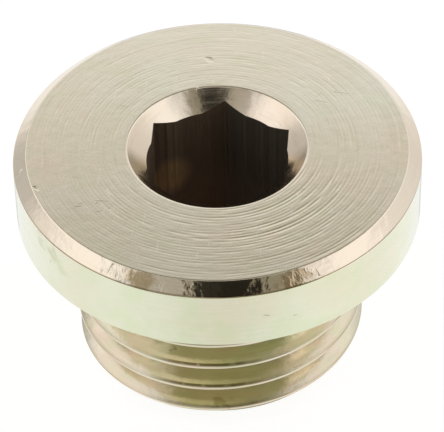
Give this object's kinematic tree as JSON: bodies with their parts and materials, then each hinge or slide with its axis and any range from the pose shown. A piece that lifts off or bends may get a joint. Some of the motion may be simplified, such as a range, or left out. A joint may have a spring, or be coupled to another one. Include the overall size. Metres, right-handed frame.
{
  "type": "hex socket plug",
  "caption": "Round flanged screw plug with a hexagon key socket, a flat sealing face and a short parallel pipe thread that closes a port.",
  "frame": {"origin": "centre of the flat sealing face under the collar, on the plug's axis", "axes": "+Z along the plug's axis, out of the port and towards the key socket; +Y through a corner of the hexagon and +X square to two of its flats"},
  "size_m": [0.018, 0.018, 0.011],
  "materials": {
    "plated_steel": "turned carbon steel with bright zinc plating, passivated to a faint pink and green tint"
  },
  "bodies": {
    "root": {"plug_body": "plated_steel"}
  },
  "joints": []
}
